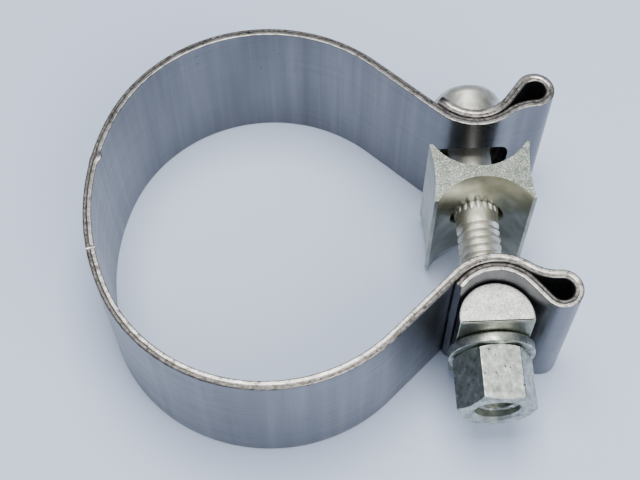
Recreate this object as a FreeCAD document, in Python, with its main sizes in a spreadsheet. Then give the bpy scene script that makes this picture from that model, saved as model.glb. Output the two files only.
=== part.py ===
import FreeCAD, Part
import math
import os

import Sketcher

os.makedirs("parts", exist_ok=True)
doc = FreeCAD.newDocument("BandClamp")
V = FreeCAD.Vector

# Frame: the pipe axis is Z and the band stands on Z = 0. The bolt runs along Y, on the +X side of the
# ring. +Y is the bolt head's end and -Y is the nut's end. The clamp is modelled slack, as supplied.

# ---------------------------------------------------------------- driving dimensions (mm, degrees)
DIMENSIONS = [
    ("band_width", 31.75),
    ("strip_thick", 1.65),
    ("layer_gap", 0.15),
    ("back_inner_radius", 44.0),
    ("back_half_length", 18.0),
    ("side_inner_radius", 30.5),
    ("back_inner_x", -31.8),
    ("flex_half_length", 9.3),
    ("flex_gap", 0.4),
    ("bolt_x", 40.0),
    ("saddle_y", 23.95),
    ("saddle_seat_radius", 7.1),
    ("loop_x", 51.3),
    ("loop_y", 20.85),
    ("loop_inner_radius", 2.05),
    ("fold_tail", 1.8),
    ("outer_hole_radius", 7.4),
    ("inner_hole_radius", 5.8),
    ("bolt_radius", 4.1),
    ("bolt_end_y", -33.5),
    ("bolt_end_chamfer", 0.9),
    ("head_radius", 6.9),
    ("head_seat_radius", 7.0),
    ("head_top_y", 28.4),
    ("head_straight", 2.1),
    ("head_rounding", 2.6),
    ("rib_count", 18),
    ("rib_radius", 4.4),
    ("rib_start_y", 2.3),
    ("rib_length", 4.3),
    ("rib_breadth", 0.8),
    ("block_y", 4.7),
    ("block_length", 27.3),
    ("block_half_width", 9.45),
    ("block_half_height", 6.1),
    ("block_half_web", 1.1),
    ("block_hollow_radius", 10.2),
    ("block_side_radius", 31.75),
    ("block_bore_radius", 4.5),
    ("block_tip_rounding", 0.3),
    ("spacer_radius", 6.85),
    ("spacer_flat_depth", 0.93),
    ("spacer_length", 22.8),
    ("spacer_bore_radius", 4.55),
    ("washer_radius", 8.0),
    ("washer_bore_radius", 4.45),
    ("washer_thick", 2.0),
    ("washer_rounding", 0.3),
    ("face_gap", 0.05),
    ("nut_across_flats", 13.0),
    ("nut_height", 10.45),
    ("nut_bore_radius", 4.15),
    ("nut_mouth_chamfer", 0.55),
    ("nut_face_radius", 6.55),
    ("nut_rest_turn", 4.5),
]

sheet = doc.addObject("Spreadsheet::Sheet", "sizes")
for row, (alias, value) in enumerate(DIMENSIONS, start=1):
    sheet.set(f"A{row}", alias)
    sheet.set(f"B{row}", str(value))
    sheet.setAlias(f"B{row}", alias)
doc.recompute()


def size(alias):
    return float(sheet.get(alias))


# ---------------------------------------------------------------- sizes worked out from the sheet
mid_height = size("band_width") / 2
half_strip = size("strip_thick") / 2
saddle_centre = V(size("bolt_x"), size("saddle_y"), 0)
fold_radius = size("saddle_seat_radius") + half_strip
through_radius = fold_radius + size("strip_thick") + size("layer_gap")
loop_radius = size("loop_inner_radius") + half_strip
spacer_flat_y = -size("saddle_y") - size("spacer_flat_depth")
washer_back_y = spacer_flat_y - size("face_gap")
nut_back_y = washer_back_y - size("washer_thick") - size("face_gap")


# ---------------------------------------------------------------- helpers for bodies and sketches
def new_body(label, place=V(0, 0, 0), rotation=None):
    body = doc.addObject("PartDesign::Body", label)
    body.Label = label
    body.Placement = FreeCAD.Placement(place, rotation or FreeCAD.Rotation())
    return body


def origin_feature(body, role):
    return next(item for item in body.Origin.OriginFeatures if item.Role == role)


def new_sketch(body, name, role):
    sketch = body.newObject("Sketcher::SketchObject", name)
    sketch.AttachmentSupport = [(origin_feature(body, role), "")]
    sketch.MapMode = "FlatFace"
    return sketch


def add_outline(sketch, edges):
    """Add edges to a sketch and make every pair of touching ends coincident."""
    first = sketch.GeometryCount
    for edge in edges:
        sketch.addGeometry(edge, False)
    ends = [(g, p, sketch.getPoint(g, p)) for g in range(first, sketch.GeometryCount) for p in (1, 2)]
    for i, (edge_a, end_a, point_a) in enumerate(ends):
        for edge_b, end_b, point_b in ends[i + 1:]:
            if edge_a != edge_b and point_a.distanceToPoint(point_b) < 1e-5:
                sketch.addConstraint(Sketcher.Constraint("Coincident", edge_a, end_a, edge_b, end_b))


def polygon(corners):
    following = corners[1:] + corners[:1]
    return [Part.LineSegment(a, b) for a, b in zip(corners, following)]


def obround(radius, half_straight):
    """An upright oblong outline, from the radius of its round ends and half its straight length."""
    return [
        Part.Arc(V(radius, half_straight, 0), V(0, half_straight + radius, 0), V(-radius, half_straight, 0)),
        Part.LineSegment(V(-radius, half_straight, 0), V(-radius, -half_straight, 0)),
        Part.Arc(V(-radius, -half_straight, 0), V(0, -half_straight - radius, 0), V(radius, -half_straight, 0)),
        Part.LineSegment(V(radius, -half_straight, 0), V(radius, half_straight, 0)),
    ]


def add_circle(sketch, alias):
    """Add a circle at the sketch's origin, with its radius bound to a cell."""
    index = sketch.addGeometry(Part.Circle(V(0, 0, 0), V(0, 0, 1), size(alias)), False)
    sketch.addConstraint(Sketcher.Constraint("Coincident", index, 3, -1, 1))
    radius = sketch.addConstraint(Sketcher.Constraint("Radius", index, size(alias)))
    sketch.setExpression(f"Constraints[{radius}]", f"sizes.{alias}")


def add_pad(body, name, sketch, length, midplane=False, backwards=False):
    feature = body.newObject("PartDesign::Pad", name)
    feature.Profile = sketch
    feature.setExpression("Length", length)
    feature.Midplane = midplane
    feature.Reversed = backwards
    doc.recompute()
    return feature


def add_cut(body, kind, name, sketch):
    """Cut a sketch through the body, or round its Y axis, and prove that it took material away."""
    before = body.Shape.Volume
    feature = body.newObject(kind, name)
    feature.Profile = sketch
    if kind == "PartDesign::Pocket":
        feature.Type = 1
        feature.Midplane = True
    else:
        feature.ReferenceAxis = (sketch, ["V_Axis"])
        feature.Angle = 360
    doc.recompute()
    if body.Shape.Volume > before - 0.1:
        raise RuntimeError(f"{name} cut nothing")
    return feature


def add_dress(body, kind, name, is_edge, bound, alias):
    """Fillet every edge of the body's tip that passes the is_edge test."""
    doc.recompute()
    base = body.Tip
    shape = base.Shape
    chosen = [f"Edge{i}" for i, edge in enumerate(shape.Edges, start=1) if is_edge(edge)]
    feature = body.newObject(kind, name)
    feature.Base = (base, chosen)
    feature.setExpression(bound, f"sizes.{alias}")
    doc.recompute()
    return feature


# ---------------------------------------------------------------- the strip's middle line
# Each run is ("arc", centre, radius, start angle, end angle) in degrees, or ("line", start, end).
# An arc whose end angle is larger turns left.
def on_circle(centre, radius, degrees):
    angle = math.radians(degrees)
    return centre + V(radius * math.cos(angle), radius * math.sin(angle), 0)


def bearing(vector):
    return math.degrees(math.atan2(vector.y, vector.x))


def strip_edges(runs, side, mirrored):
    """Thicken the middle line into a closed outline. mirrored flips it across the XZ plane."""
    flip = -1 if mirrored else 1

    def place(point):
        return V(point.x, flip * point.y, 0)

    def shifted(run, shift):
        if run[0] == "arc":
            centre, radius, start, end = run[1:]
            turned = radius - shift if end > start else radius + shift
            return [on_circle(centre, turned, a) for a in (start, (start + end) / 2, end)]
        along = (run[2] - run[1]).normalize()
        left = V(-along.y, along.x, 0) * shift
        return [run[1] + left, run[2] + left]

    edges = []
    for shift in (side, -side):
        for run in runs:
            points = [place(point) for point in shifted(run, shift)]
            edges.append(Part.Arc(*points) if len(points) == 3 else Part.LineSegment(*points))
    for run, which in ((runs[0], 0), (runs[-1], -1)):
        edges.append(Part.LineSegment(place(shifted(run, side)[which]), place(shifted(run, -side)[which])))
    return edges


back_radius = size("back_inner_radius") + half_strip
side_radius = size("side_inner_radius") + half_strip
back_centre = V(size("back_inner_x") + size("back_inner_radius"), 0, 0)
back_angle = math.degrees(size("back_half_length") / size("back_inner_radius"))
flex_angle = math.degrees(size("flex_half_length") / back_radius)
gap_angle = math.degrees(size("flex_gap") / 2 / back_radius)
side_centre = on_circle(back_centre, back_radius - side_radius, 180 - back_angle)

# The straight run leaves the ring's side turning right and enters the saddle turning left.
to_saddle = saddle_centre - side_centre
run_heading = bearing(to_saddle) - math.degrees(math.asin((side_radius + through_radius) / to_saddle.Length))
ring_exit = on_circle(side_centre, side_radius, run_heading + 90)
saddle_entry = on_circle(saddle_centre, through_radius, run_heading - 90)

# A reverse bend carries the outer layer from the saddle to the bottom of the end loop.
loop_centre = V(size("loop_x"), size("loop_y"), 0)
loop_drop = saddle_centre.y - (loop_centre.y - loop_radius)
loop_reach = loop_centre.x - saddle_centre.x
hump_radius = (loop_reach**2 + loop_drop**2 - through_radius**2) / (2 * (through_radius - loop_drop))
hump_centre = V(loop_centre.x, loop_centre.y - loop_radius - hump_radius, 0)
hump_angle = bearing(hump_centre - saddle_centre)

# The strip turns round the loop and folds back over the saddle as its inner layer.
to_fold = saddle_centre - loop_centre
fold_heading = bearing(to_fold) + math.degrees(math.asin((loop_radius + fold_radius) / to_fold.Length))
loop_exit = on_circle(loop_centre, loop_radius, fold_heading - 90)
fold_entry = on_circle(saddle_centre, fold_radius, fold_heading + 90)
fold_exit = on_circle(saddle_centre, fold_radius, run_heading - 90)
tail_direction = V(-math.cos(math.radians(run_heading)), -math.sin(math.radians(run_heading)), 0)

end_runs = [
    ("arc", back_centre, back_radius, 180 - flex_angle - gap_angle, 180 - back_angle),
    ("arc", side_centre, side_radius, 180 - back_angle, run_heading + 90),
    ("line", ring_exit, saddle_entry),
    ("arc", saddle_centre, through_radius, run_heading - 90, hump_angle),
    ("arc", hump_centre, hump_radius, hump_angle + 180, 90),
    ("arc", loop_centre, loop_radius, -90, fold_heading - 90),
    ("line", loop_exit, fold_entry),
    ("arc", saddle_centre, fold_radius, fold_heading + 90 - 360, run_heading - 90),
    ("line", fold_exit, fold_exit + tail_direction * size("fold_tail")),
]
back_runs = [
    ("arc", back_centre, back_radius, 180 + flex_angle - gap_angle, 180 - flex_angle + gap_angle),
]


# ---------------------------------------------------------------- band, in three nodes of one strip
def add_strip(body, name, runs, mirrored):
    outline = new_sketch(body, f"{name}_edge_view", "XY_Plane")
    add_outline(outline, strip_edges(runs, half_strip, mirrored))
    add_pad(body, f"{name}_strip", outline, "sizes.band_width")


def drill_saddle(body, name, radius_alias):
    hole = new_sketch(body, f"{name}_view", "XZ_Plane")
    hole.AttachmentOffset = FreeCAD.Placement(V(saddle_centre.x, mid_height, 0), FreeCAD.Rotation())
    add_circle(hole, radius_alias)
    add_cut(body, "PartDesign::Pocket", name, hole)


def make_end(label, mirrored):
    """The outer layer and its wide hole come first, then the folded inner layer and its smaller one."""
    body = new_body(label)
    add_strip(body, f"{label}_outer", end_runs[:6], mirrored)
    drill_saddle(body, f"{label}_outer_hole", "outer_hole_radius")
    add_strip(body, f"{label}_inner", end_runs[6:], mirrored)
    drill_saddle(body, f"{label}_inner_hole", "inner_hole_radius")
    return body


band_back = new_body("band_back")
add_strip(band_back, "band_back", back_runs, mirrored=False)
band_upper = make_end("band_upper", mirrored=False)
band_lower = make_end("band_lower", mirrored=True)


# ---------------------------------------------------------------- tee bolt
# The head is an oblong blank whose underside is a cylinder along Z, so that it rocks in the saddle.
bolt_place = V(saddle_centre.x, 0, mid_height)
tee_bolt = new_body("tee_bolt", bolt_place)
seat_radius = size("head_seat_radius")
head_top = size("head_top_y")
head_view = new_sketch(tee_bolt, "head_side_view", "XY_Plane")
seat_left = V(-seat_radius, saddle_centre.y, 0)
seat_right = V(seat_radius, saddle_centre.y, 0)
seat_bottom = V(0, saddle_centre.y - seat_radius, 0)
top_left = V(-seat_radius, head_top, 0)
top_right = V(seat_radius, head_top, 0)
add_outline(head_view, [
    Part.Arc(seat_left, seat_bottom, seat_right),
    Part.LineSegment(seat_right, top_right),
    Part.LineSegment(top_right, top_left),
    Part.LineSegment(top_left, seat_left),
])
add_pad(tee_bolt, "head_blank", head_view, "2 * (sizes.head_radius + sizes.head_straight)", midplane=True)

trim_view = new_sketch(tee_bolt, "head_round_view", "XZ_Plane")
trim_half = 2 * seat_radius
trim_corners = [V(-trim_half, -trim_half, 0), V(trim_half, -trim_half, 0),
                V(trim_half, trim_half, 0), V(-trim_half, trim_half, 0)]
add_outline(trim_view, polygon(trim_corners))
add_outline(trim_view, obround(size("head_radius"), size("head_straight")))
add_cut(tee_bolt, "PartDesign::Pocket", "head_rounding_cut", trim_view)
add_dress(tee_bolt, "PartDesign::Fillet", "head_dome",
          lambda edge: min(v.Y for v in edge.Vertexes) > head_top - 0.01, "Radius", "head_rounding")

shank_view = new_sketch(tee_bolt, "shank_view", "XY_Plane")
shank = size("bolt_radius")
tip = size("bolt_end_y")
tip_chamfer = size("bolt_end_chamfer")
shank_top = saddle_centre.y - seat_radius / 2
add_outline(shank_view, polygon([
    V(0, tip, 0), V(shank - tip_chamfer, tip, 0), V(shank, tip + tip_chamfer, 0),
    V(shank, shank_top, 0), V(0, shank_top, 0),
]))
shank_turn = tee_bolt.newObject("PartDesign::Revolution", "shank")
shank_turn.Profile = shank_view
shank_turn.ReferenceAxis = (shank_view, ["V_Axis"])
shank_turn.Angle = 360
doc.recompute()

rib_view = new_sketch(tee_bolt, "rib_view", "XZ_Plane")
rib_view.AttachmentOffset = FreeCAD.Placement(V(0, 0, -size("rib_start_y")), FreeCAD.Rotation())
rib_half = size("rib_breadth") / 2
rib_outer = size("rib_radius")
rib_root = shank - rib_half
add_outline(rib_view, polygon([
    V(rib_root, -rib_half, 0), V(rib_outer, -rib_half / 2, 0),
    V(rib_outer, rib_half / 2, 0), V(rib_root, rib_half, 0),
]))
rib = add_pad(tee_bolt, "rib", rib_view, "sizes.rib_length", backwards=True)
ribs = tee_bolt.newObject("PartDesign::PolarPattern", "ribbed_neck")
ribs.Originals = [rib]
ribs.Axis = (origin_feature(tee_bolt, "Y_Axis"), [""])
ribs.Angle = 360
ribs.setExpression("Occurrences", "sizes.rib_count")
tee_bolt.Tip = ribs
doc.recompute()


# ---------------------------------------------------------------- reaction block
block_place = V(saddle_centre.x, size("block_y"), mid_height)
reaction_block = new_body("reaction_block", block_place)
block_view = new_sketch(reaction_block, "block_end_view", "XY_Plane")
half_width = size("block_half_width")
half_height = size("block_half_height")
half_web = size("block_half_web")
hollow_radius = size("block_hollow_radius")
side_curve = size("block_side_radius")
hollow_centre_y = half_web + hollow_radius
tip_x = math.sqrt(hollow_radius**2 - (hollow_centre_y - half_height)**2)
side_x = half_width - (side_curve - math.sqrt(side_curve**2 - half_height**2))
block_edges = []
for turn in (1, -1):
    block_edges += [
        Part.Arc(V(-tip_x, turn * half_height, 0), V(0, turn * half_web, 0), V(tip_x, turn * half_height, 0)),
        Part.LineSegment(V(tip_x, turn * half_height, 0), V(half_width, turn * half_height, 0)),
        Part.LineSegment(V(-tip_x, turn * half_height, 0), V(-half_width, turn * half_height, 0)),
        Part.Arc(V(turn * half_width, -half_height, 0), V(turn * side_x, 0, 0),
                 V(turn * half_width, half_height, 0)),
    ]
add_outline(block_view, block_edges)
add_pad(reaction_block, "block_bar", block_view, "sizes.block_length", midplane=True)
block_hole = new_sketch(reaction_block, "block_hole_view", "XZ_Plane")
add_circle(block_hole, "block_bore_radius")
add_cut(reaction_block, "PartDesign::Pocket", "block_hole", block_hole)


def is_block_tip(edge):
    along_z = abs(edge.BoundBox.ZLength - size("block_length")) < 0.01
    at_tip = min(abs(v.X) for v in edge.Vertexes) > tip_x - 0.01
    return along_z and at_tip and min(abs(v.Y) for v in edge.Vertexes) > half_height - 0.01


add_dress(reaction_block, "PartDesign::Fillet", "block_tips", is_block_tip, "Radius", "block_tip_rounding")


# ---------------------------------------------------------------- half-round spacer
spacer_place = V(saddle_centre.x, -saddle_centre.y, mid_height)
half_round_spacer = new_body("half_round_spacer", spacer_place)
spacer_view = new_sketch(half_round_spacer, "spacer_end_view", "XY_Plane")
spacer_radius = size("spacer_radius")
flat_depth = size("spacer_flat_depth")
flat_x = math.sqrt(spacer_radius**2 - flat_depth**2)
flat_left = V(-flat_x, -flat_depth, 0)
flat_right = V(flat_x, -flat_depth, 0)
add_outline(spacer_view, [
    Part.Arc(flat_left, V(0, spacer_radius, 0), flat_right),
    Part.LineSegment(flat_right, flat_left),
])
add_pad(half_round_spacer, "spacer_bar", spacer_view, "sizes.spacer_length", midplane=True)
spacer_hole = new_sketch(half_round_spacer, "spacer_hole_view", "XZ_Plane")
add_circle(spacer_hole, "spacer_bore_radius")
add_cut(half_round_spacer, "PartDesign::Pocket", "spacer_hole", spacer_hole)


# ---------------------------------------------------------------- flat washer
flat_washer = new_body("flat_washer", V(saddle_centre.x, washer_back_y, mid_height))
washer_view = new_sketch(flat_washer, "washer_view", "XZ_Plane")
add_circle(washer_view, "washer_radius")
add_circle(washer_view, "washer_bore_radius")
add_pad(flat_washer, "washer_plate", washer_view, "sizes.washer_thick")
add_dress(flat_washer, "PartDesign::Fillet", "washer_edge",
          lambda edge: edge.BoundBox.XLength > 2 * size("washer_radius") - 0.01,
          "Radius", "washer_rounding")


# ---------------------------------------------------------------- hex nut
nut_rotation = FreeCAD.Rotation(V(0, 1, 0), size("nut_rest_turn"))
hex_nut = new_body("hex_nut", V(saddle_centre.x, nut_back_y, mid_height), nut_rotation)
nut_view = new_sketch(hex_nut, "nut_end_view", "XZ_Plane")
nut_height = size("nut_height")
nut_corner = size("nut_across_flats") / math.sqrt(3)
add_outline(nut_view, polygon([on_circle(V(0, 0, 0), nut_corner, 60 * i) for i in range(6)]))
add_pad(hex_nut, "nut_blank", nut_view, "sizes.nut_height")
nut_hole = new_sketch(hex_nut, "nut_hole_view", "XZ_Plane")
add_circle(nut_hole, "nut_bore_radius")
add_cut(hex_nut, "PartDesign::Pocket", "nut_hole", nut_hole)

# Both ends are turned to a 30 degree chamfer on the corners and a 45 degree chamfer in the bore.
nut_bevels = new_sketch(hex_nut, "nut_bevel_view", "XY_Plane")
face_radius = size("nut_face_radius")
past_corner = nut_corner + 1
bevel_drop = (past_corner - face_radius) * math.tan(math.radians(30))
bore = size("nut_bore_radius")
inside_bore = bore - 1
mouth = bore + size("nut_mouth_chamfer")
for face_y, inward in ((0, -1), (-nut_height, 1)):
    corner_bevel = [V(face_radius, face_y, 0), V(past_corner, face_y, 0),
                    V(past_corner, face_y + inward * bevel_drop, 0)]
    bore_bevel = [V(inside_bore, face_y, 0), V(mouth, face_y, 0),
                  V(inside_bore, face_y + inward * (mouth - inside_bore), 0)]
    add_outline(nut_bevels, polygon(corner_bevel))
    add_outline(nut_bevels, polygon(bore_bevel))
add_cut(hex_nut, "PartDesign::Groove", "nut_bevels", nut_bevels)


# ---------------------------------------------------------------- checks and files
doc.recompute()
NODES = [
    band_back,
    band_upper,
    band_lower,
    tee_bolt,
    reaction_block,
    half_round_spacer,
    flat_washer,
    hex_nut,
]
for item in doc.Objects:
    if "Invalid" in item.State or "Error" in item.State:
        raise RuntimeError(f"{item.Label} failed: {item.State}")
for node in NODES:
    shape = node.Shape
    if shape.isNull() or not shape.isValid() or len(shape.Solids) != 1:
        raise RuntimeError(f"{node.Label} is not one valid solid")
for node in NODES:
    node.Shape.exportStep(f"parts/{node.Label}.step")
    box = node.Shape.BoundBox
    print(node.Label, f"{node.Shape.Volume:.0f} mm3",
          f"x {box.XMin:.1f}..{box.XMax:.1f}", f"y {box.YMin:.1f}..{box.YMax:.1f}",
          f"z {box.ZMin:.1f}..{box.ZMax:.1f}")
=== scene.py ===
import math

import bmesh
import bpy
from mathutils import Matrix, Vector


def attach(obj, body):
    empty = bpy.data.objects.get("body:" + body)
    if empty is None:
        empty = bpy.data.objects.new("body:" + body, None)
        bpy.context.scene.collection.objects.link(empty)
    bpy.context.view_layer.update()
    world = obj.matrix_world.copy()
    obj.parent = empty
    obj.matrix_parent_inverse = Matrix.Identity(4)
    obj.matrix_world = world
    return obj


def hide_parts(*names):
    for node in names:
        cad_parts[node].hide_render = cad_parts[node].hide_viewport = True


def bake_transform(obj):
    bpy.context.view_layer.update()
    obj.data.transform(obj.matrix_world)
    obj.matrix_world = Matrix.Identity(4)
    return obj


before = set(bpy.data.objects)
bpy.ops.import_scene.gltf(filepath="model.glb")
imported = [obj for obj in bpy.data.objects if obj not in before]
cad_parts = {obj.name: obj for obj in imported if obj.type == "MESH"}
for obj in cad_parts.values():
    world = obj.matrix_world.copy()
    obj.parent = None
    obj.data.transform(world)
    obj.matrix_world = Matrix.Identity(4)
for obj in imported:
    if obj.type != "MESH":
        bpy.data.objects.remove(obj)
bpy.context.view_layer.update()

# ---------------------------------------------------------------- band
# One strip of stainless steel, slit to width, rolled to a ring and folded back on itself at each end,
# so that each end has a loop and a doubled saddle. It is made here as two halves that meet at the
# middle of the ring's back, because each half bends there as the clamp closes.
MM = 0.001

# The strip is 0.2 mm narrower than its solid, which leaves room for the burr on its edge.
band_width = 31.55 * MM
strip_thick = 1.65 * MM
mid_height = 15.875 * MM
half_strip = strip_thick / 2

back_inner_radius = 44.0 * MM
back_radius = back_inner_radius + half_strip
back_centre = Vector((12.2 * MM, 0, mid_height))
back_turn = math.degrees(18.0 * MM / back_inner_radius)
side_radius = 30.5 * MM + half_strip
bolt_x = 40.0 * MM
saddle_centre = Vector((bolt_x, 23.95 * MM, mid_height))
fold_radius = 7.1 * MM + half_strip
layer_gap = 0.15 * MM
through_radius = fold_radius + strip_thick + layer_gap
loop_centre = Vector((51.3 * MM, 20.85 * MM, mid_height))
loop_radius = 2.05 * MM + half_strip
fold_tail = 1.8 * MM
outer_hole_radius = 7.4 * MM
inner_hole_radius = 5.8 * MM
outer_corner = 0.38 * MM
inner_corner = 0.16 * MM

# Places closer together than this count as the same.
near = 0.01 * MM


def bearing(vector):
    return math.degrees(math.atan2(vector.y, vector.x))


def on_circle(centre, radius, degrees):
    angle = math.radians(degrees)
    return centre + Vector((radius * math.cos(angle), radius * math.sin(angle), 0))


side_centre = on_circle(back_centre, back_radius - side_radius, 180 - back_turn)
to_saddle = saddle_centre - side_centre
run_heading = bearing(to_saddle) - math.degrees(
    math.asin((side_radius + through_radius) / to_saddle.length))
ring_exit = on_circle(side_centre, side_radius, run_heading + 90)
saddle_entry = on_circle(saddle_centre, through_radius, run_heading - 90)
loop_bottom_drop = saddle_centre.y - (loop_centre.y - loop_radius)
loop_reach = loop_centre.x - saddle_centre.x
hump_radius = (loop_reach**2 + loop_bottom_drop**2 - through_radius**2) / (
    2 * (through_radius - loop_bottom_drop))
hump_centre = loop_centre - Vector((0, loop_radius + hump_radius, 0))
hump_bearing = bearing(hump_centre - saddle_centre)
to_fold = saddle_centre - loop_centre
fold_heading = bearing(to_fold) + math.degrees(math.asin((loop_radius + fold_radius) / to_fold.length))
loop_exit = on_circle(loop_centre, loop_radius, fold_heading - 90)
fold_entry = on_circle(saddle_centre, fold_radius, fold_heading + 90)
tail_run = -on_circle(Vector(), fold_tail, run_heading)

# Each bend is its centre, its turn in degrees (left is positive) and its number of steps.
# Each straight is the vector that it runs.
STRIP_RUNS = [
    ("bend", back_centre, -back_turn, 24),
    ("bend", side_centre, run_heading + 90 - (180 - back_turn), 84),
    ("straight", saddle_entry - ring_exit),
    ("bend", saddle_centre, hump_bearing - (run_heading - 90), 44),
    ("bend", hump_centre, 90 - (hump_bearing + 180), 20),
    ("bend", loop_centre, fold_heading, 56),
    ("straight", fold_entry - loop_exit),
    ("bend", saddle_centre, run_heading - 90 - (fold_heading + 90 - 360), 44),
    ("straight", tail_run),
]


def pick(kind, wanted):
    """In edit mode, select only the vertices, edges or faces that are wanted."""
    bpy.ops.mesh.select_mode(type=kind)
    bpy.ops.mesh.select_all(action="DESELECT")
    shape = bmesh.from_edit_mesh(bpy.context.object.data)
    for element in {"VERT": shape.verts, "EDGE": shape.edges, "FACE": shape.faces}[kind]:
        if wanted(element):
            element.select_set(True)
    shape.select_flush_mode()
    bmesh.update_edit_mesh(bpy.context.object.data)


def choose(piece):
    """Select this piece alone and make it the active one."""
    bpy.ops.object.select_all(action="DESELECT")
    bpy.context.view_layer.objects.active = piece
    piece.select_set(True)


def edit(piece):
    """Open the piece in edit mode with everything selected."""
    choose(piece)
    bpy.ops.object.mode_set(mode="EDIT")
    bpy.ops.mesh.select_all(action="SELECT")


def new_shape(name):
    """Name the primitive just added and put its place in its mesh, ready to edit."""
    piece = bpy.context.object
    piece.name = piece.data.name = name
    bpy.ops.object.select_all(action="DESELECT")
    piece.select_set(True)
    bpy.ops.object.transform_apply(location=True, rotation=True, scale=True)
    edit(piece)
    return piece


def combine(piece, tool, operation):
    """Apply a boolean of two closed shapes, and use up the tool."""
    choose(piece)
    step = piece.modifiers.new(operation.lower(), "BOOLEAN")
    step.object = tool
    step.operation = operation
    step.solver = "EXACT"
    bpy.ops.object.modifier_apply(modifier=step.name)
    bpy.data.objects.remove(tool, do_unlink=True)


def join_to(piece, *parts):
    """Join closed shells that overlap inside the metal into one mesh."""
    bpy.ops.object.select_all(action="DESELECT")
    for part in (piece, *parts):
        part.select_set(True)
    bpy.context.view_layer.objects.active = piece
    bpy.ops.object.join()


def bar_on_bolt(name, start, end, radius, corners):
    """A round bar on the bolt's axis, between two heights along it."""
    bpy.ops.object.select_all(action="DESELECT")
    bpy.ops.mesh.primitive_cylinder_add(
        vertices=corners, radius=radius, depth=abs(end - start),
        location=(bolt_x, (start + end) / 2, mid_height), rotation=(math.radians(90), 0, 0))
    bar = new_shape(name)
    bpy.ops.object.mode_set(mode="OBJECT")
    return bar


def bar_along_pipe(name, x, y, radius, half_length, corners):
    """A round bar that lies along the pipe, centred on the strip's width."""
    bpy.ops.object.select_all(action="DESELECT")
    bpy.ops.mesh.primitive_cylinder_add(
        vertices=corners, radius=radius, depth=2 * half_length, location=(x, y, mid_height))
    bar = new_shape(name)
    bpy.ops.object.mode_set(mode="OBJECT")
    return bar


def smooth(piece, degrees):
    """Shade the piece smooth, with corners sharper than the angle kept sharp."""
    bpy.ops.object.mode_set(mode="OBJECT")
    choose(piece)
    bpy.ops.object.shade_smooth_by_angle(angle=math.radians(degrees))
    weighting = piece.modifiers.new("weighting", "WEIGHTED_NORMAL")
    weighting.keep_sharp = True
    bpy.ops.object.modifier_apply(modifier=weighting.name)


def steepness(edge):
    """How far apart the edge's two faces point, in degrees."""
    return math.degrees(edge.calc_face_angle(0.0))


def from_bolt(vertex):
    """The distance of a vertex from the bolt's axis."""
    return math.hypot(vertex.co.x - bolt_x, vertex.co.z - mid_height)


def make_half_band(name):
    """The strip from the middle of the ring's back to its cut end, for the upper half."""
    # The strip's section stands at the middle of the back. The slitting rolls the outer corners over.
    back_x = back_centre.x - back_radius
    bpy.ops.object.select_all(action="DESELECT")
    bpy.ops.mesh.primitive_plane_add(
        size=1, location=(back_x, 0, mid_height), rotation=(math.radians(90), 0, 0))
    bpy.context.object.scale = (strip_thick, band_width, 1)
    strip = new_shape(name)
    pick("VERT", lambda v: v.co.x < back_x)
    bpy.ops.mesh.bevel(offset=outer_corner, segments=4, affect="VERTICES")
    pick("VERT", lambda v: v.co.x > back_x + 0.49 * strip_thick)
    bpy.ops.mesh.bevel(offset=inner_corner, segments=3, affect="VERTICES")
    pick("EDGE", lambda e: abs(e.verts[0].co.z - e.verts[1].co.z) < near and e.calc_length() > 0.6 * MM)
    bpy.ops.mesh.subdivide(number_cuts=6)

    # Slitting cuts the inner half of the edge clean and tears the outer half, which stays lower.
    torn_height = (band_width - 0.24 * MM) / band_width
    pick("VERT", lambda v: v.co.x < back_x - 0.02 * MM)
    bpy.ops.transform.resize(value=(1, 1, torn_height), center_override=(back_x, 0, mid_height))
    bpy.ops.mesh.select_all(action="SELECT")
    bpy.ops.mesh.delete(type="ONLY_FACE")
    pick("EDGE", lambda e: e.calc_length() > 0.9 * band_width * torn_height
         and abs(e.verts[0].co.x - back_x) < 0.45 * strip_thick)
    bpy.ops.mesh.delete(type="EDGE")
    bpy.ops.mesh.select_mode(type="EDGE")
    bpy.ops.mesh.select_all(action="SELECT")
    for kind, *run in STRIP_RUNS:
        if kind == "bend":
            centre, turn, steps = run
            bpy.ops.mesh.spin(steps=steps, angle=math.radians(-turn), center=centre, axis=(0, 0, 1))
        else:
            bpy.ops.mesh.extrude_region_move(TRANSFORM_OT_translate={"value": run[0]})

    # The cut end of the strip is eased, and both ends are closed.
    bpy.ops.mesh.extrude_region_move(TRANSFORM_OT_translate={"value": 0.12 * tail_run})
    shape = bmesh.from_edit_mesh(strip.data)
    end_corners = [v.co for v in shape.verts if v.select]
    end_centre = sum(end_corners, Vector()) / len(end_corners)
    end_centre.z = mid_height
    bpy.ops.transform.resize(value=(0.8, 0.8, 0.99), center_override=end_centre)
    bpy.ops.mesh.edge_face_add()
    pick("EDGE", lambda e: e.is_boundary)
    bpy.ops.mesh.edge_face_add()
    bpy.ops.mesh.select_all(action="SELECT")
    bpy.ops.mesh.normals_make_consistent(inside=False)
    bpy.ops.object.mode_set(mode="OBJECT")
    return strip


def pierce_saddle(strip, side):
    """Punch the bolt's holes: wide through the outer layer, so that the bolt can swing, then smaller."""
    # The wide punch stops in the gap between the layers.
    punch = bar_on_bolt("punch", side * 8 * MM, side * 23 * MM, outer_hole_radius, 96)
    inner_layer = bar_along_pipe("inner_layer", bolt_x, side * saddle_centre.y,
                                 (fold_radius + through_radius) / 2, band_width, 256)
    combine(punch, inner_layer, "DIFFERENCE")
    combine(strip, punch, "DIFFERENCE")
    punch = bar_on_bolt("punch", side * 8 * MM, side * 23 * MM, inner_hole_radius, 96)
    combine(strip, punch, "DIFFERENCE")
    edit(strip)
    pick("EDGE", lambda e: steepness(e) > 40 and any(
        all(abs(from_bolt(v) - radius) < 0.04 * MM for v in e.verts)
        for radius in (outer_hole_radius, inner_hole_radius)))
    bpy.ops.mesh.bevel(offset=0.14 * MM, segments=2, affect="EDGES")


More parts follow.
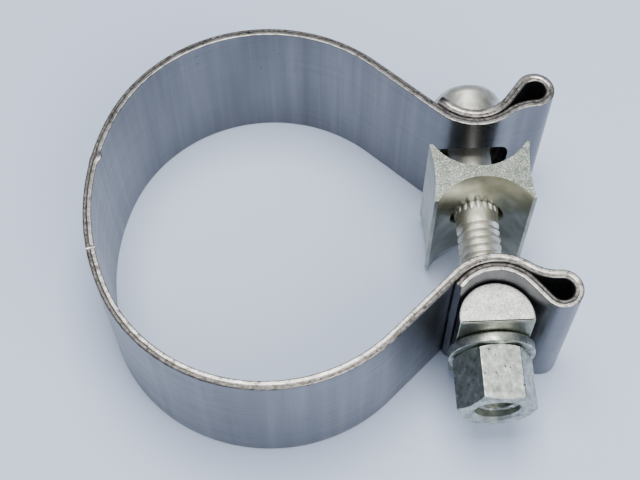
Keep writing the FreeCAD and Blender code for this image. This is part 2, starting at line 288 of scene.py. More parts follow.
upper_strip = make_half_band("band_strip_upper")
choose(upper_strip)
bpy.ops.object.duplicate()
lower_strip = bpy.context.object
lower_strip.name = lower_strip.data.name = "band_strip_lower"
edit(lower_strip)
bpy.ops.transform.mirror(constraint_axis=(False, True, False), center_override=(0, 0, 0))
bpy.ops.mesh.flip_normals()
bpy.ops.object.mode_set(mode="OBJECT")

# Where the rolled strip was gripped at the back, the upper half has a small raised burr on its edge
# and the lower half a nick across it.
burr_place = Vector((-32.2 * MM, 9.4 * MM, mid_height + band_width / 2))
nick_place = Vector((burr_place.x, -burr_place.y, burr_place.z))
edit(upper_strip)
for reach, widening in ((0.9 * MM, 1.12), (0.5 * MM, 1.18)):
    pick("VERT", lambda v: v.co.z > burr_place.z - 0.5 * MM and abs(v.co.y - burr_place.y) < reach)
    bpy.ops.transform.resize(value=(widening, 1, 1), center_override=burr_place)
    bpy.ops.transform.translate(value=(0, 0, 0.04 * MM))
bpy.ops.object.mode_set(mode="OBJECT")
bpy.ops.object.select_all(action="DESELECT")
bpy.ops.mesh.primitive_cylinder_add(
    vertices=12, radius=0.32 * MM, depth=6 * MM, location=nick_place,
    rotation=(0, math.radians(90), math.radians(12)))
nick = new_shape("nick")
bpy.ops.object.mode_set(mode="OBJECT")
combine(lower_strip, nick, "DIFFERENCE")


def linear(code):
    """Turn an sRGB hex value into a linear colour."""
    channels = [int(code[i:i + 2], 16) / 255 for i in (1, 3, 5)]
    return tuple(c / 12.92 if c <= 0.04045 else ((c + 0.055) / 1.055) ** 2.4 for c in channels) + (1.0,)


def add_node(tree, kind, inputs, stops=(), **settings):
    """Add a node with its settings. An input that is another node's output is linked.

    The stops of a colour ramp are (position, hex value) pairs.
    """
    node = tree.nodes.new(kind)
    for name, value in settings.items():
        setattr(node, name, value)
    for name, value in inputs.items():
        if isinstance(value, bpy.types.NodeSocket):
            tree.links.new(value, node.inputs[name])
        else:
            node.inputs[name].default_value = value
    for index, (position, code) in enumerate(stops):
        elements = node.color_ramp.elements
        element = elements[index] if index < len(elements) else elements.new(1.0)
        element.position = position
        element.color = linear(code)
    return node


def new_material(name):
    material = bpy.data.materials.new(name)
    material.use_nodes = True
    tree = material.node_tree
    return material, tree, tree.nodes["Principled BSDF"]


# Cold-rolled stainless strip, satin: grey with soft streaks across its width where the rolls
# shaped it, fine lines along it from the mill, and small dark specks of handling dirt.
wall_steel, tree, shader = new_material("cold_rolled_satin_stainless")
place = add_node(tree, "ShaderNodeTexCoord", {}).outputs["Object"]
streak_place = add_node(tree, "ShaderNodeMapping", {"Vector": place, "Scale": (1, 1, 0.03)})
streaks = add_node(tree, "ShaderNodeTexNoise", {
    "Vector": streak_place.outputs["Vector"], "Scale": 420, "Detail": 4, "Roughness": 0.6})
broad_place = add_node(tree, "ShaderNodeMapping", {"Vector": place, "Scale": (1, 1, 0.25)})
broad = add_node(tree, "ShaderNodeTexNoise", {
    "Vector": broad_place.outputs["Vector"], "Scale": 70, "Detail": 3})
mill_place = add_node(tree, "ShaderNodeMapping", {"Vector": place, "Scale": (0.02, 0.02, 1)})
mill_lines = add_node(tree, "ShaderNodeTexNoise", {
    "Vector": mill_place.outputs["Vector"], "Scale": 2600, "Detail": 2})
streak_colour = add_node(tree, "ShaderNodeValToRGB", {"Fac": streaks.outputs["Fac"]}, stops=[
    (0.3, "#6f7076"), (0.5, "#787a80"), (0.7, "#85868c")])
broad_tone = add_node(tree, "ShaderNodeValToRGB", {"Fac": broad.outputs["Fac"]}, stops=[
    (0.3, "#dedede"), (0.7, "#ffffff")])

# A colour mix takes its two colours at inputs 6 and 7 and gives its result at output 2.
wall_tone = add_node(tree, "ShaderNodeMix", {
    "Factor": 1.0, 6: streak_colour.outputs["Color"], 7: broad_tone.outputs["Color"]},
    data_type="RGBA", blend_type="MULTIPLY")
specks = add_node(tree, "ShaderNodeTexVoronoi", {"Vector": place, "Scale": 330, "Randomness": 1.0})
speck_mask = add_node(tree, "ShaderNodeMapRange", {
    "Value": specks.outputs["Distance"], "From Min": 0.05, "From Max": 0.11, "To Min": 0.35, "To Max": 0.0})
speck_choice = add_node(tree, "ShaderNodeMath", {
    0: specks.outputs["Color"], 1: 0.72}, operation="GREATER_THAN")
speck_amount = add_node(tree, "ShaderNodeMath", {
    0: speck_mask.outputs["Result"], 1: speck_choice.outputs["Value"]}, operation="MULTIPLY")
specked = add_node(tree, "ShaderNodeMix", {
    "Factor": speck_amount.outputs["Value"], 6: wall_tone.outputs[2], 7: linear("#2e2e33")},
    data_type="RGBA")
tree.links.new(specked.outputs[2], shader.inputs["Base Color"])
shader.inputs["Metallic"].default_value = 1.0
wall_roughness = add_node(tree, "ShaderNodeMapRange", {
    "Value": mill_lines.outputs["Fac"], "From Min": 0.3, "From Max": 0.7, "To Min": 0.27, "To Max": 0.4})
tree.links.new(wall_roughness.outputs["Result"], shader.inputs["Roughness"])
mill_bump = add_node(tree, "ShaderNodeBump", {
    "Height": mill_lines.outputs["Fac"], "Strength": 0.25, "Distance": 0.01 * MM})
streak_bump = add_node(tree, "ShaderNodeBump", {
    "Height": streaks.outputs["Fac"], "Strength": 0.35, "Distance": 0.03 * MM,
    "Normal": mill_bump.outputs["Normal"]})
tree.links.new(streak_bump.outputs["Normal"], shader.inputs["Normal"])

# The clean-cut half of the slit edge, smeared bright by the knife, with nicks. Its rounded corners take the
# same bright colour, which is a painted highlight line along each side of the rim.
burnished_edge_and_highlight_steel, tree, shader = new_material("knife_burnished_steel_edge_and_painted_highlight")
place = add_node(tree, "ShaderNodeTexCoord", {}).outputs["Object"]
nicks = add_node(tree, "ShaderNodeTexNoise", {
    "Vector": place, "Scale": 900, "Detail": 3, "Roughness": 0.65})
edge_colour = add_node(tree, "ShaderNodeValToRGB", {"Fac": nicks.outputs["Fac"]}, stops=[
    (0.33, "#4f4c47"), (0.45, "#827f79"), (0.7, "#aaa7a1")])
tree.links.new(edge_colour.outputs["Color"], shader.inputs["Base Color"])
shader.inputs["Metallic"].default_value = 1.0
shader.inputs["Roughness"].default_value = 0.3
nick_bump = add_node(tree, "ShaderNodeBump", {
    "Height": nicks.outputs["Fac"], "Strength": 0.5, "Distance": 0.08 * MM})
tree.links.new(nick_bump.outputs["Normal"], shader.inputs["Normal"])

# The torn half of the slit edge: matt, darker and pitted, faintly brown.
torn_steel, tree, shader = new_material("torn_steel_edge")
place = add_node(tree, "ShaderNodeTexCoord", {}).outputs["Object"]
tears = add_node(tree, "ShaderNodeTexNoise", {
    "Vector": place, "Scale": 1500, "Detail": 5, "Roughness": 0.7})
torn_colour = add_node(tree, "ShaderNodeValToRGB", {"Fac": tears.outputs["Fac"]}, stops=[
    (0.35, "#38342f"), (0.5, "#6a655f"), (0.68, "#96918a")])
tree.links.new(torn_colour.outputs["Color"], shader.inputs["Base Color"])
shader.inputs["Metallic"].default_value = 1.0
shader.inputs["Roughness"].default_value = 0.5
tear_bump = add_node(tree, "ShaderNodeBump", {
    "Height": tears.outputs["Fac"], "Strength": 0.9, "Distance": 0.15 * MM})
tree.links.new(tear_bump.outputs["Normal"], shader.inputs["Normal"])


def coat_faces(piece, material, wanted):
    """Give the material to the faces that are wanted, in a slot of its own."""
    piece.data.materials.append(material)
    edit(piece)
    pick("FACE", wanted)
    piece.active_material_index = len(piece.data.materials) - 1
    bpy.ops.object.material_slot_assign()
    bpy.ops.object.mode_set(mode="OBJECT")


edge_height = band_width / 2


def height_off_middle(face):
    return abs(face.calc_center_median().z - mid_height)


# The clean-cut flat of the rim, and its rounded corners, whose bright colour is a painted highlight line.
def is_cut_edge_or_highlight_corner(face):
    return abs(face.normal.z) > 0.25 and height_off_middle(face) > edge_height - 0.6 * MM


def is_torn_edge(face):
    depth = edge_height - height_off_middle(face)
    return abs(face.normal.z) > 0.9 and 0.06 * MM < depth < 0.2 * MM


for strip, side in ((upper_strip, 1), (lower_strip, -1)):
    pierce_saddle(strip, side)
    smooth(strip, 38)
    coat_faces(strip, wall_steel, lambda face: True)
    coat_faces(strip, burnished_edge_and_highlight_steel, is_cut_edge_or_highlight_corner)
    coat_faces(strip, torn_steel, is_torn_edge)
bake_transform(upper_strip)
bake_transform(lower_strip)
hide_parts("band_upper", "band_back")
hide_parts("band_lower")

# ---------------------------------------------------------------- tee bolt
# A forged steel bolt, zinc plated. Its oblong head is a cylinder underneath, so that it rocks in the
# saddle, with a dome on top. The neck has pressed ribs, and the rolled thread has 16 turns to the inch.
thread_radius = 4.1 * MM
thread_root = 3.42 * MM
thread_pitch = 1.5875 * MM
bolt_end = -33.5 * MM
thread_top = -0.9 * MM
head_radius = 6.9 * MM
head_straight = 2.1 * MM
head_top = 28.4 * MM
head_rounding = 2.8 * MM
head_seat_radius = 7.0 * MM


def helical_ridge(name, base_radius, crest_radius, base_width, crest_width, start_y, turns):
    """A closed bar with a thread's section, wound right-handed about the bolt's axis."""
    corners = [(base_radius, -base_width / 2), (crest_radius, -crest_width / 2),
               (crest_radius, crest_width / 2), (base_radius, base_width / 2)]
    bpy.ops.object.select_all(action="DESELECT")
    bpy.ops.mesh.primitive_plane_add(size=1, location=(0, 0, 0))
    ridge = new_shape(name)
    bpy.ops.object.mode_set(mode="OBJECT")
    for index, (radius, along) in zip((0, 1, 3, 2), corners):
        ridge.data.vertices[index].co = (radius, start_y + along, 0)
    screw = ridge.modifiers.new("screw", "SCREW")
    screw.axis = "Y"
    screw.angle = math.tau
    screw.screw_offset = thread_pitch
    screw.iterations = turns
    screw.steps = screw.render_steps = 40
    screw.use_merge_vertices = False
    bpy.ops.object.modifier_apply(modifier=screw.name)
    edit(ridge)
    bpy.ops.mesh.remove_doubles(threshold=0.001 * MM)
    bpy.ops.mesh.select_all(action="DESELECT")
    bpy.ops.mesh.select_mode(type="EDGE")
    bpy.ops.mesh.select_non_manifold(extend=False)
    bpy.ops.mesh.edge_face_add()
    bpy.ops.mesh.select_all(action="SELECT")
    bpy.ops.mesh.normals_make_consistent(inside=False)
    bpy.ops.transform.translate(value=(bolt_x, 0, mid_height))
    bpy.ops.object.mode_set(mode="OBJECT")
    return ridge


def turn_about_bolt(piece, angle):
    """Turn the piece's mesh about the bolt's axis."""
    centre = Vector((bolt_x, 0, mid_height))
    piece.data.transform(
        Matrix.Translation(centre) @ Matrix.Rotation(angle, 4, "Y") @ Matrix.Translation(-centre))


def widen(scale, y):
    """Scale what is selected across the bolt's axis, about the height y."""
    bpy.ops.transform.resize(value=(scale, 1, scale), center_override=(bolt_x, y, mid_height))


# The shank is turned to the thread's root, with a neck above, and takes the ridge of the thread.
tee_bolt = bar_on_bolt("tee_bolt_zinc", bolt_end, thread_top, thread_root, 64)
edit(tee_bolt)
pick("EDGE", lambda e: all(v.co.y < bolt_end + near for v in e.verts))
bpy.ops.mesh.bevel(offset=0.35 * MM, segments=2, affect="EDGES")
pick("FACE", lambda f: f.normal.y > 0.9)
bpy.ops.mesh.extrude_region_move(TRANSFORM_OT_translate={"value": (0, 0.6 * MM, 0)})
neck_scale = thread_radius / thread_root
widen(neck_scale, thread_top)
bpy.ops.mesh.extrude_region_move(TRANSFORM_OT_translate={"value": (0, 19 * MM, 0)})
bpy.ops.object.mode_set(mode="OBJECT")
thread_end = thread_top + 0.9 * MM
thread_turns = math.floor((thread_end - bolt_end - 0.7 * MM) / thread_pitch)
bolt_thread = helical_ridge("bolt_thread", thread_root - 0.06 * MM, thread_radius - 0.02 * MM,
                            1.28 * MM, 0.32 * MM, thread_end - thread_turns * thread_pitch, thread_turns)

# The blank's end is chamfered before the thread is rolled, so the first turn is lower.
edit(bolt_thread)
for depth, lowering in ((1.5, 0.95), (1.0, 0.93)):
    pick("VERT", lambda v: v.co.y < bolt_end + depth * MM)
    widen(lowering, bolt_end)
bpy.ops.object.mode_set(mode="OBJECT")
combine(tee_bolt, bolt_thread, "UNION")

# Eighteen ribs pressed round the neck, each with rounded ends, locate the bolt in the block.
rib_count = 18
rib_centre_y = 4.5 * MM
bpy.ops.object.select_all(action="DESELECT")
bpy.ops.mesh.primitive_uv_sphere_add(segments=12, ring_count=10, radius=1, location=(0, 0, 0))
rib = new_shape("neck_rib")
bpy.ops.transform.resize(value=(0.8 * MM, 2.5 * MM, 0.42 * MM))
bpy.ops.transform.translate(value=(bolt_x, rib_centre_y, mid_height + 4.0 * MM))
bpy.ops.object.mode_set(mode="OBJECT")
ribs = []
for turn in range(rib_count):
    copy = rib.copy()
    copy.data = rib.data.copy()
    bpy.context.collection.objects.link(copy)
    turn_about_bolt(copy, math.tau * turn / rib_count)
    ribs.append(copy)
bpy.data.objects.remove(rib, do_unlink=True)

# The head is an oblong blank with a domed top, forged over a cylinder that lies along the pipe.
head_bottom = saddle_centre.y - head_seat_radius
head = bar_on_bolt("head", head_bottom, head_top, head_radius, 96)
edit(head)
pick("EDGE", lambda e: all(v.co.y > head_top - near for v in e.verts))
bpy.ops.mesh.bevel(offset=head_rounding, segments=12, affect="EDGES")
for side in (1, -1):
    pick("VERT", lambda v: (v.co.z - mid_height) * side > near)
    bpy.ops.transform.translate(value=(0, 0, side * head_straight))
bpy.ops.object.mode_set(mode="OBJECT")
seat = bar_along_pipe("head_seat", bolt_x, saddle_centre.y, head_seat_radius, 12 * MM, 128)
edit(seat)
pick("VERT", lambda v: v.co.y > saddle_centre.y + near)
bpy.ops.transform.translate(value=(0, 8 * MM, 0))
bpy.ops.object.mode_set(mode="OBJECT")
combine(head, seat, "INTERSECT")
join_to(tee_bolt, head, *ribs)
edit(tee_bolt)
pick("EDGE", lambda e: steepness(e) > 50 and all(v.co.y > head_bottom for v in e.verts)
     and all(math.hypot(v.co.x - bolt_x, max(abs(v.co.z - mid_height) - head_straight, 0)) > 6.5 * MM
             for v in e.verts))
bpy.ops.mesh.bevel(offset=0.35 * MM, segments=3, affect="EDGES")
smooth(tee_bolt, 34)

# Bright zinc plate with a clear, faintly yellow passivation: near white, and slightly uneven.
bolt_zinc, tree, shader = new_material("clear_passivated_zinc_plate")
place = add_node(tree, "ShaderNodeTexCoord", {}).outputs["Object"]
cloud = add_node(tree, "ShaderNodeTexNoise", {"Vector": place, "Scale": 350, "Detail": 4, "Roughness": 0.6})
bolt_colour = add_node(tree, "ShaderNodeValToRGB", {"Fac": cloud.outputs["Fac"]}, stops=[
    (0.34, "#aeab9a"), (0.5, "#cfcdbf"), (0.66, "#ebe9de")])
tree.links.new(bolt_colour.outputs["Color"], shader.inputs["Base Color"])
shader.inputs["Metallic"].default_value = 1.0
plate_grain = add_node(tree, "ShaderNodeTexNoise", {"Vector": place, "Scale": 2400, "Detail": 3})
bolt_roughness = add_node(tree, "ShaderNodeMapRange", {
    "Value": cloud.outputs["Fac"], "From Min": 0.3, "From Max": 0.7, "To Min": 0.55, "To Max": 0.42})
tree.links.new(bolt_roughness.outputs["Result"], shader.inputs["Roughness"])
grain_bump = add_node(tree, "ShaderNodeBump", {
    "Height": plate_grain.outputs["Fac"], "Strength": 0.6, "Distance": 0.06 * MM})
tree.links.new(grain_bump.outputs["Normal"], shader.inputs["Normal"])
tee_bolt.data.materials.clear()
tee_bolt.data.materials.append(bolt_zinc)
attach(tee_bolt, "bolt")
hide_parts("tee_bolt")

# ---------------------------------------------------------------- reaction block
# A short length of drawn steel bar with four hollow sides, sawn off, cross-drilled for the bolt and
# zinc plated. It sits between the saddles and keeps their curves as the bolt pulls them together.
block_y = 4.7 * MM
block_half_length = 27.3 / 2 * MM
block_half_width = 9.45 * MM
block_half_height = 6.1 * MM
block_web = 2.2 * MM
hollow_radius = 10.2 * MM
flank_radius = 31.75 * MM
cutter_half_length = 16 * MM

bpy.ops.object.select_all(action="DESELECT")
bpy.ops.mesh.primitive_cube_add(size=2, location=(bolt_x, block_y, mid_height))
bpy.context.object.scale = (block_half_width, block_half_height, block_half_length)
block = new_shape("reaction_block_sawn")
bpy.ops.object.mode_set(mode="OBJECT")
for side in (1, -1):
    hollow_y = block_y + side * (block_web / 2 + hollow_radius)
    hollow = bar_along_pipe("hollow", bolt_x, hollow_y, hollow_radius, cutter_half_length, 192)
    combine(block, hollow, "DIFFERENCE")
    flank_x = bolt_x + side * (block_half_width + math.sqrt(flank_radius**2 - block_half_height**2))
    flank = bar_along_pipe("flank", flank_x, block_y, flank_radius, cutter_half_length, 512)
    combine(block, flank, "DIFFERENCE")

# The drill breaks out with a wide countersink on the nut's side and a slight one on the head's side.
bore_radius = 4.5 * MM
bore_end = block_web / 2 - 0.15 * MM
drill = bar_on_bolt("drill", block_y - bore_end, block_y + bore_end, bore_radius, 64)
edit(drill)
flare_length = 6 * MM
for outward, slope in ((-1, 0.45), (1, 0.12)):
    pick("FACE", lambda f: f.normal.y * outward > 0.9)
    bpy.ops.mesh.extrude_region_move(TRANSFORM_OT_translate={"value": (0, outward * flare_length, 0)})
    widen(1 + slope * flare_length / bore_radius, block_y)
bpy.ops.object.mode_set(mode="OBJECT")
combine(block, drill, "DIFFERENCE")


def on_bar_outline(edge, half_length):
    """Whether the edge is a long corner of a sawn bar, or on the rim of one of its ends."""
    along = abs(edge.verts[0].co.z - edge.verts[1].co.z)
    at_end = all(abs(v.co.z - mid_height) > half_length - near for v in edge.verts)
    return steepness(edge) > 40 and along > 1.3 * half_length or steepness(edge) > 60 and at_end


edit(block)
pick("EDGE", lambda e: on_bar_outline(e, block_half_length))
bpy.ops.mesh.bevel(offset=0.2 * MM, segments=3, affect="EDGES", clamp_overlap=True)
smooth(block, 34)

# Drawn and plated sides: smooth, grey with an olive cast, and a little cloudy.
drawn_zinc, tree, shader = new_material("zinc_plate_on_drawn_steel")
place = add_node(tree, "ShaderNodeTexCoord", {}).outputs["Object"]
draw_place = add_node(tree, "ShaderNodeMapping", {"Vector": place, "Scale": (1, 1, 0.05)}).outputs["Vector"]
draw_lines = add_node(tree, "ShaderNodeTexNoise", {"Vector": draw_place, "Scale": 900, "Detail": 3})
cloud = add_node(tree, "ShaderNodeTexNoise", {"Vector": place, "Scale": 260, "Detail": 3})
drawn_colour = add_node(tree, "ShaderNodeValToRGB", {"Fac": cloud.outputs["Fac"]}, stops=[
    (0.35, "#888a7d"), (0.5, "#9c9e90"), (0.7, "#b0b2a6")])
tree.links.new(drawn_colour.outputs["Color"], shader.inputs["Base Color"])
shader.inputs["Metallic"].default_value = 1.0
shader.inputs["Roughness"].default_value = 0.24
draw_bump = add_node(tree, "ShaderNodeBump", {
    "Height": draw_lines.outputs["Fac"], "Strength": 0.3, "Distance": 0.02 * MM})
tree.links.new(draw_bump.outputs["Normal"], shader.inputs["Normal"])


def make_sawn_zinc(name, grain_scale, grain_colours, roughness):
    """Sawn and plated steel: a sparkling grain of light flecks, from the torn saw cut."""
    sawn_zinc, tree, shader = new_material(name)
    place = add_node(tree, "ShaderNodeTexCoord", {}).outputs["Object"]
    grain = add_node(tree, "ShaderNodeTexNoise", {
        "Vector": place, "Scale": grain_scale, "Detail": 2, "Roughness": 0.7})
    patch = add_node(tree, "ShaderNodeTexNoise", {"Vector": place, "Scale": 420, "Detail": 3})
    grain_colour = add_node(tree, "ShaderNodeValToRGB", {"Fac": grain.outputs["Fac"]}, stops=grain_colours)
    patch_tone = add_node(tree, "ShaderNodeValToRGB", {"Fac": patch.outputs["Fac"]}, stops=[
        (0.35, "#dde0db"), (0.6, "#ffffff")])
    sawn_tone = add_node(tree, "ShaderNodeMix", {
        "Factor": 1.0, 6: grain_colour.outputs["Color"], 7: patch_tone.outputs["Color"]},
        data_type="RGBA", blend_type="MULTIPLY")
    tree.links.new(sawn_tone.outputs[2], shader.inputs["Base Color"])
    shader.inputs["Metallic"].default_value = 1.0
    shader.inputs["Roughness"].default_value = roughness
    sawn_bump = add_node(tree, "ShaderNodeBump", {
        "Height": grain.outputs["Fac"], "Strength": 0.5, "Distance": 0.08 * MM})
    tree.links.new(sawn_bump.outputs["Normal"], shader.inputs["Normal"])
    return sawn_zinc


# The block's ends are grey-green. The real grain is about 0.15 mm, and it is drawn at about 0.3 mm so
# that it shows.
sawn_zinc = make_sawn_zinc("zinc_plate_on_sawn_steel", 3600, [
    (0.36, "#646a61"), (0.5, "#868b81"), (0.6, "#9a9f95"), (0.7, "#e0e3dc")], 0.42)
block.data.materials.clear()
coat_faces(block, drawn_zinc, lambda face: True)
coat_faces(block, sawn_zinc, lambda face: abs(face.normal.z) > 0.5
           and height_off_middle(face) > block_half_length - 0.2 * MM)
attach(block, "block")
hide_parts("reaction_block")

# ---------------------------------------------------------------- half-round spacer
# A sawn length of half-round steel bar with a cross hole, zinc plated. Its round side sits in the
# lower saddle and its flat side takes the washer, so the nut pulls square while the saddle turns.
spacer_y = -saddle_centre.y
spacer_half_length = 11.4 * MM
spacer_radius = 6.85 * MM
spacer_bore = 4.55 * MM
flat_y = spacer_y - 0.93 * MM
spacer = bar_along_pipe("half_round_spacer_sawn", bolt_x, spacer_y, spacer_radius, spacer_half_length, 160)
edit(spacer)
bpy.ops.mesh.bisect(
    plane_co=(bolt_x, flat_y, mid_height), plane_no=(0, 1, 0), use_fill=True, clear_inner=True)
bpy.ops.object.mode_set(mode="OBJECT")
drill = bar_on_bolt("drill", spacer_y - 4 * MM, spacer_y + 9 * MM, spacer_bore, 64)
combine(spacer, drill, "DIFFERENCE")
edit(spacer)
pick("EDGE", lambda e: on_bar_outline(e, spacer_half_length))
bpy.ops.mesh.bevel(offset=0.42 * MM, segments=4, affect="EDGES")
smooth(spacer, 34)
spacer.data.materials.clear()
coat_faces(spacer, drawn_zinc, lambda face: True)

# The spacer's saw cut is finer and its plate whiter than the block's.
fine_sawn_zinc = make_sawn_zinc("bright_zinc_plate_on_fine_sawn_steel", 4200, [
    (0.34, "#97968f"), (0.5, "#c3c2bc"), (0.62, "#e0dfda"), (0.72, "#f8f8f5")], 0.5)
coat_faces(spacer, fine_sawn_zinc, lambda face: abs(face.normal.z) > 0.8
           and height_off_middle(face) > spacer_half_length - 0.3 * MM)
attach(spacer, "spacer")
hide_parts("half_round_spacer")

# ---------------------------------------------------------------- flat washer
# Punched from steel sheet and zinc plated. The punch rolls one edge over and leaves the other sharp.
washer_back = flat_y - 0.05 * MM
washer_thick = 2.0 * MM
washer_radius = 8.0 * MM
washer_bore = 4.45 * MM
washer = bar_on_bolt("flat_washer_punched", washer_back - washer_thick, washer_back, washer_radius, 128)
punch = bar_on_bolt("punch", washer_back - 5 * MM, washer_back + 3 * MM, washer_bore, 96)
combine(washer, punch, "DIFFERENCE")
edit(washer)


def on_rim(edge, radius):
    return steepness(edge) > 60 and all(abs(from_bolt(v) - radius) < 0.03 * MM for v in edge.verts)


pick("EDGE", lambda e: on_rim(e, washer_radius) and all(v.co.y > washer_back - 0.1 * MM for v in e.verts))
bpy.ops.mesh.bevel(offset=0.55 * MM, segments=5, affect="EDGES")
pick("EDGE", lambda e: on_rim(e, washer_radius))
bpy.ops.mesh.bevel(offset=0.22 * MM, segments=3, affect="EDGES")
pick("EDGE", lambda e: on_rim(e, washer_bore))
bpy.ops.mesh.bevel(offset=0.2 * MM, segments=2, affect="EDGES")
smooth(washer, 34)

# Dull zinc plate on forged and punched steel: mottled grey-green, with small pits and bright nicks.
nut_zinc, tree, shader = new_material("mottled_zinc_plate")
place = add_node(tree, "ShaderNodeTexCoord", {}).outputs["Object"]
mottle = add_node(tree, "ShaderNodeTexNoise", {
    "Vector": place, "Scale": 700, "Detail": 5, "Roughness": 0.65})
mottle_colour = add_node(tree, "ShaderNodeValToRGB", {"Fac": mottle.outputs["Fac"]}, stops=[
    (0.32, "#757b73"), (0.47, "#9ba098"), (0.58, "#b3b8b0"), (0.7, "#dde0d9")])
pits = add_node(tree, "ShaderNodeTexVoronoi", {"Vector": place, "Scale": 900})
pit_mask = add_node(tree, "ShaderNodeMapRange", {
    "Value": pits.outputs["Distance"], "From Min": 0.1, "From Max": 0.22, "To Min": 1.0, "To Max": 0.0})
pit_choice = add_node(tree, "ShaderNodeMath", {0: pits.outputs["Color"], 1: 0.7}, operation="GREATER_THAN")
pit_amount = add_node(tree, "ShaderNodeMath", {
    0: pit_mask.outputs["Result"], 1: pit_choice.outputs["Value"]}, operation="MULTIPLY")
pitted = add_node(tree, "ShaderNodeMix", {
    "Factor": pit_amount.outputs["Value"], 6: mottle_colour.outputs["Color"], 7: linear("#5d625a")},
    data_type="RGBA")
tree.links.new(pitted.outputs[2], shader.inputs["Base Color"])
shader.inputs["Metallic"].default_value = 1.0
nut_roughness = add_node(tree, "ShaderNodeMapRange", {
    "Value": mottle.outputs["Fac"], "From Min": 0.3, "From Max": 0.7, "To Min": 0.46, "To Max": 0.3})
tree.links.new(nut_roughness.outputs["Result"], shader.inputs["Roughness"])
pit_depth = add_node(tree, "ShaderNodeMath", {0: mottle.outputs["Fac"], 1: pit_amount.outputs["Value"]},
                     operation="SUBTRACT")
nut_bump = add_node(tree, "ShaderNodeBump", {
    "Height": pit_depth.outputs["Value"], "Strength": 0.6, "Distance": 0.08 * MM})
tree.links.new(nut_bump.outputs["Normal"], shader.inputs["Normal"])
washer.data.materials.clear()
washer.data.materials.append(nut_zinc)
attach(washer, "washer")
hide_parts("flat_washer")

# ---------------------------------------------------------------- hex nut
# A long steel nut, cold forged, chamfered at both ends, tapped through and zinc plated. It pulls the
# lower saddle along the bolt. It is turned 4.5 degrees from square at rest.
nut_back = washer_back - washer_thick - 0.05 * MM
nut_front = nut_back - 10.45 * MM
nut_corner = 13.0 / math.sqrt(3) * MM
nut_turned = math.radians(4.5)
nut = bar_on_bolt("hex_nut_tapped", nut_front, nut_back, nut_corner, 6)
edit(nut)
pick("EDGE", lambda e: abs(e.verts[0].co.y - e.verts[1].co.y) > 5 * MM)
bpy.ops.mesh.bevel(offset=0.2 * MM, segments=3, affect="EDGES")
first_corner = min((v.co for v in bmesh.from_edit_mesh(nut.data).verts),
                   key=lambda c: abs(math.atan2(c.z - mid_height, c.x - bolt_x)))
corner_angle = math.atan2(first_corner.z - mid_height, first_corner.x - bolt_x)
bpy.ops.object.mode_set(mode="OBJECT")
turn_about_bolt(nut, corner_angle + nut_turned)

# The end cones leave a round face at each end, and the corners below it arch up into the flats.
cone_rise = 2.2 * MM
face_radius = 6.5 * MM
cone_angle = math.radians(30)
cone_radius = face_radius + cone_rise / math.tan(cone_angle)
turning = bar_on_bolt("turning", nut_front, nut_back, cone_radius, 128)
edit(turning)
for end, inward in ((nut_front, 1), (nut_back, -1)):
    pick("FACE", lambda f: abs(f.calc_center_median().y - end) < near and abs(f.normal.y) > 0.9)
    bpy.ops.mesh.extrude_region_move(TRANSFORM_OT_translate={"value": (0, 0, 0)})
    widen(face_radius / cone_radius, end)
    pick("VERT", lambda v: abs(v.co.y - end) < near and from_bolt(v) > cone_radius - near)
    bpy.ops.transform.translate(value=(0, inward * cone_rise, 0))
bpy.ops.object.mode_set(mode="OBJECT")
combine(nut, turning, "INTERSECT")

# The hole is drilled to the thread's outer size, countersunk, and takes the ridge of the thread.
tap_radius = 4.16 * MM
countersink = 0.55 * MM
drill = bar_on_bolt("tap_drill", nut_front + countersink, nut_back - countersink, tap_radius, 96)
edit(drill)
for outward in (-1, 1):
    end_y = nut_front + countersink if outward < 0 else nut_back - countersink
    pick("FACE", lambda f: f.normal.y * outward > 0.9)
    bpy.ops.mesh.extrude_region_move(TRANSFORM_OT_translate={"value": (0, outward * 3 * countersink, 0)})
    widen(1 + 3 * countersink / tap_radius, end_y)
bpy.ops.object.mode_set(mode="OBJECT")
combine(nut, drill, "DIFFERENCE")
thread_phase = thread_end % thread_pitch + thread_pitch / 2
first_turn = math.ceil((nut_front + 1.2 * MM - thread_phase) / thread_pitch)
first_y = thread_phase + first_turn * thread_pitch
nut_turns = math.floor((nut_back - 1.2 * MM - first_y) / thread_pitch)
nut_thread = helical_ridge("nut_thread", tap_radius + 0.08 * MM, 3.55 * MM, 1.3 * MM, 0.25 * MM,
                           first_y, nut_turns)

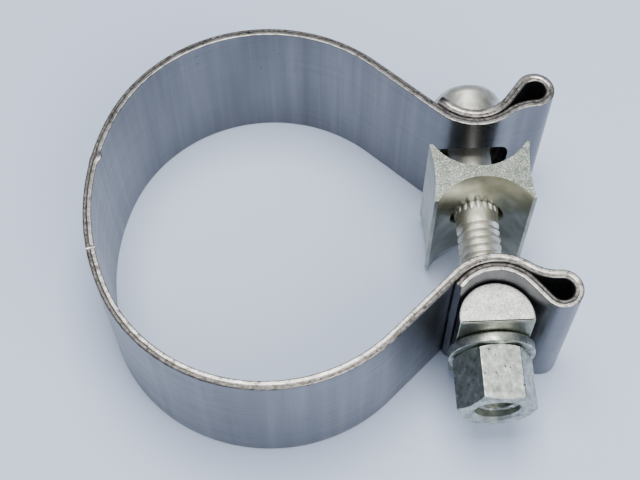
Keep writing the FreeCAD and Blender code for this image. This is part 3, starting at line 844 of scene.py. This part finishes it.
# The countersink takes the crest off the start of the thread.
edit(nut_thread)
for depth, widening in ((1.3, 1.06), (0.8, 1.05)):
    pick("VERT", lambda v: v.co.y < first_y + (depth - 0.65) * MM)
    widen(widening, first_y)
bpy.ops.object.mode_set(mode="OBJECT")
join_to(nut, nut_thread)
smooth(nut, 34)
nut.data.materials.clear()
nut.data.materials.append(nut_zinc)
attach(nut, "nut")
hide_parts("hex_nut")

# ---------------------------------------------------------------- table, light and camera
# The clamp lies flat on a pale matt table under soft studio light, seen from above the nut's end.
camera = bpy.data.cameras.new("camera")
camera.lens = 71.2
camera.sensor_width = 36
camera.clip_start = 0.01
camera_object = bpy.data.objects.new("camera", camera)
bpy.context.collection.objects.link(camera_object)
camera_object.matrix_world = (
    Matrix.Translation((5.75 * MM, -113.44 * MM, 231.56 * MM))
    @ Matrix.Rotation(math.radians(-1.93), 4, "Z")
    @ Matrix.Rotation(math.radians(27.47), 4, "X")
    @ Matrix.Rotation(math.radians(-0.46), 4, "Z")
)
bpy.context.scene.camera = camera_object

bpy.ops.object.select_all(action="DESELECT")
bpy.ops.mesh.primitive_plane_add(size=1.6, location=(0, 0, -0.02 * MM))
table = bpy.context.object
table.name = "table_top"
table_paint, tree, shader = new_material("matt_pale_table")
shader.inputs["Base Color"].default_value = linear("#c3cfe4")
shader.inputs["Roughness"].default_value = 0.85
table.data.materials.append(table_paint)

world = bpy.data.worlds.new("studio")
bpy.context.scene.world = world
world.use_nodes = True
world.node_tree.nodes["Background"].inputs["Color"].default_value = linear("#b9c6e2")
world.node_tree.nodes["Background"].inputs["Strength"].default_value = 0.45


def soft_light(name, place, width, power):
    light = bpy.data.lights.new(name, "AREA")
    light.size = width
    light.energy = power
    lamp = bpy.data.objects.new(name, light)
    bpy.context.collection.objects.link(lamp)
    lamp.location = place
    lamp.rotation_euler = (-Vector(place)).to_track_quat("-Z", "Y").to_euler()


soft_light("key_light", (0.0, 0.08, 0.65), 0.35, 6)
soft_light("fill_light", (0.25, -0.4, 0.5), 0.5, 4)
